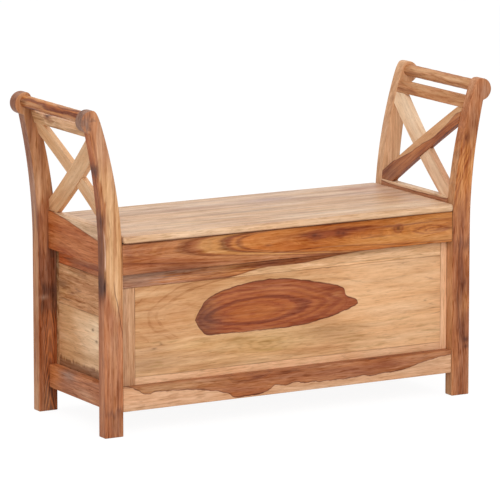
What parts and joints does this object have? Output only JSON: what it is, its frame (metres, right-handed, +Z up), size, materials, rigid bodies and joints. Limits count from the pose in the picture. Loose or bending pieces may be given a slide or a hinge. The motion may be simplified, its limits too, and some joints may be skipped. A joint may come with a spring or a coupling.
{
  "type": "entry bench",
  "caption": "Wooden entry bench: a storage chest with a lifting lid as the seat, between low arms with crossed laths and posts that curl outwards.",
  "frame": {"origin": "on the floor under the middle of the bench", "axes": "+Z up, +X along the bench to the right as seen from the front, -Y towards the front"},
  "size_m": [1.0358, 0.3538, 0.7199],
  "materials": {
    "honey_wood": "clear satin lacquer over natural figured wood",
    "pale_wood": "clear satin lacquer over natural figured wood",
    "amber_wood": "clear satin lacquer over natural figured wood",
    "russet_wood": "clear satin lacquer over natural figured wood",
    "umber_wood": "clear satin lacquer over natural figured wood",
    "brass": "satin metal"
  },
  "bodies": {
    "chest": {"post_front_left": "honey_wood", "flat_rail_left": "honey_wood", "lath_inner_left": "honey_wood", "lath_outer_left": "honey_wood", "front_board": "honey_wood", "back_board": "honey_wood", "apron_back": "honey_wood", "lower_rail_back": "honey_wood", "side_upper_board_left": "honey_wood", "side_upper_board_right": "honey_wood", "floor_cleat_front": "honey_wood", "floor_cleat_back": "honey_wood", "post_back_right": "pale_wood", "round_rail_right": "pale_wood", "lath_outer_right": "pale_wood", "front_right_stile": "pale_wood", "front_left_stile": "pale_wood", "front_bottom_strip": "pale_wood", "side_lower_board_left": "pale_wood", "side_lower_board_right": "pale_wood", "floor_board": "pale_wood", "apron_front": "amber_wood", "front_top_strip": "amber_wood", "flat_rail_right": "amber_wood", "round_rail_left": "amber_wood", "post_front_right": "russet_wood", "lath_inner_right": "russet_wood", "lower_rail_front": "russet_wood", "seat_rail_left": "russet_wood", "seat_rail_right": "russet_wood", "lower_rail_left": "russet_wood", "lower_rail_right": "russet_wood", "side_top_strip_left": "russet_wood", "side_top_strip_right": "russet_wood", "post_back_left": "umber_wood", "hinge_left_fixed_leaf": "brass", "hinge_left_pin": "brass", "hinge_left_fixed_screw_1": "brass", "hinge_left_fixed_screw_2": "brass", "hinge_right_fixed_leaf": "brass", "hinge_right_pin": "brass", "hinge_right_fixed_screw_1": "brass", "hinge_right_fixed_screw_2": "brass"},
    "lid": {"lid": "pale_wood", "lid_batten_left": "honey_wood", "lid_batten_right": "honey_wood", "hinge_left_moving_leaf": "brass", "hinge_left_moving_screw_1": "brass", "hinge_left_moving_screw_2": "brass", "hinge_right_moving_leaf": "brass", "hinge_right_moving_screw_1": "brass", "hinge_right_moving_screw_2": "brass"}
  },
  "joints": [
    {"name": "lid_hinge", "type": "hinge", "parent": "chest", "child": "lid", "pos_m": [0, 0.1731, 0.42435], "axis": [-1, 0, 0], "range_deg": [0, 100]}
  ]
}
